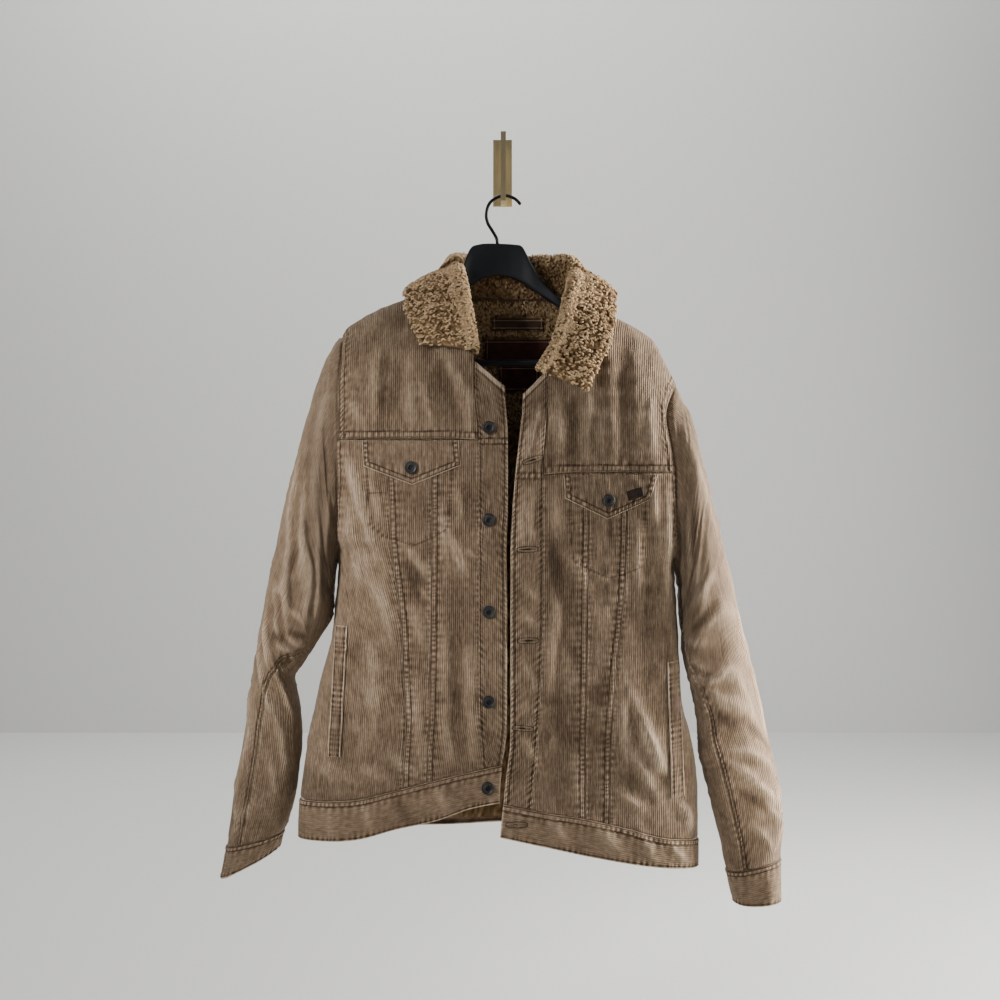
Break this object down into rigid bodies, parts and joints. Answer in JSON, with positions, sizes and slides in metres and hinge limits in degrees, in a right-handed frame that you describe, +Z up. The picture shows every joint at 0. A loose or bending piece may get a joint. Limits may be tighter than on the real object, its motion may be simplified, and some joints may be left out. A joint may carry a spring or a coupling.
{
  "type": "sherpa lined jacket on a hanger and a wall hook",
  "caption": "Corduroy trucker-style jacket with a curly sherpa collar and lining, worn-in, on a black hanger that hangs from a brass wall hook.",
  "frame": {"origin": "centre of the wall plate's back face, where it meets the wall", "axes": "+Z up, +Y into the wall, so the jacket's front looks along -Y; +X to the right seen from the front"},
  "size_m": [0.7502, 0.1381, 1.0341],
  "materials": {
    "corduroy": "fine-wale cotton corduroy, washed tan-brown, worn lighter on seams and ridges",
    "sherpa_pile": "curly golden-tan sherpa pile",
    "leather_trim": "matt dark maroon-brown leather, left blank",
    "gunmetal_button": "dark gunmetal tack button with a sunk middle",
    "black_plastic": "matt black moulded plastic",
    "black_wire": "semi-gloss black round wire",
    "satin_brass": "satin brass"
  },
  "bodies": {
    "root": {"back_centre_panel": "corduroy", "back_hem_band": "corduroy", "back_lining": "sherpa_pile", "back_yoke": "corduroy", "flap_tab": "leather_trim", "front_button_1": "gunmetal_button", "front_button_2": "gunmetal_button", "front_button_3": "gunmetal_button", "front_button_4": "gunmetal_button", "front_button_5": "gunmetal_button", "hanger_bar": "black_plastic", "hanger_body": "black_plastic", "hanger_hook": "black_wire", "hanger_loop": "leather_trim", "left_back_side_panel": "corduroy", "left_cuff": "corduroy", "left_flap_button": "gunmetal_button", "left_front_centre_panel": "corduroy", "left_front_hem_band": "corduroy", "left_front_inner_panel": "corduroy", "left_front_placket": "corduroy", "left_front_side_panel": "corduroy", "left_front_yoke": "corduroy", "left_pocket_flap": "corduroy", "left_sleeve_top": "corduroy", "left_sleeve_under": "corduroy", "left_welt": "corduroy", "lower_patch": "leather_trim", "neck_patch": "leather_trim", "right_back_side_panel": "corduroy", "right_cuff": "corduroy", "right_flap_button": "gunmetal_button", "right_front_centre_panel": "corduroy", "right_front_hem_band": "corduroy", "right_front_inner_panel": "corduroy", "right_front_placket": "corduroy", "right_front_side_panel": "corduroy", "right_front_yoke": "corduroy", "right_pocket_flap": "corduroy", "right_sleeve_top": "corduroy", "right_sleeve_under": "corduroy", "right_welt": "corduroy", "under_collar": "corduroy", "upper_collar": "sherpa_pile", "wall_hook_bar": "satin_brass", "wall_plate": "satin_brass"}
  },
  "joints": []
}
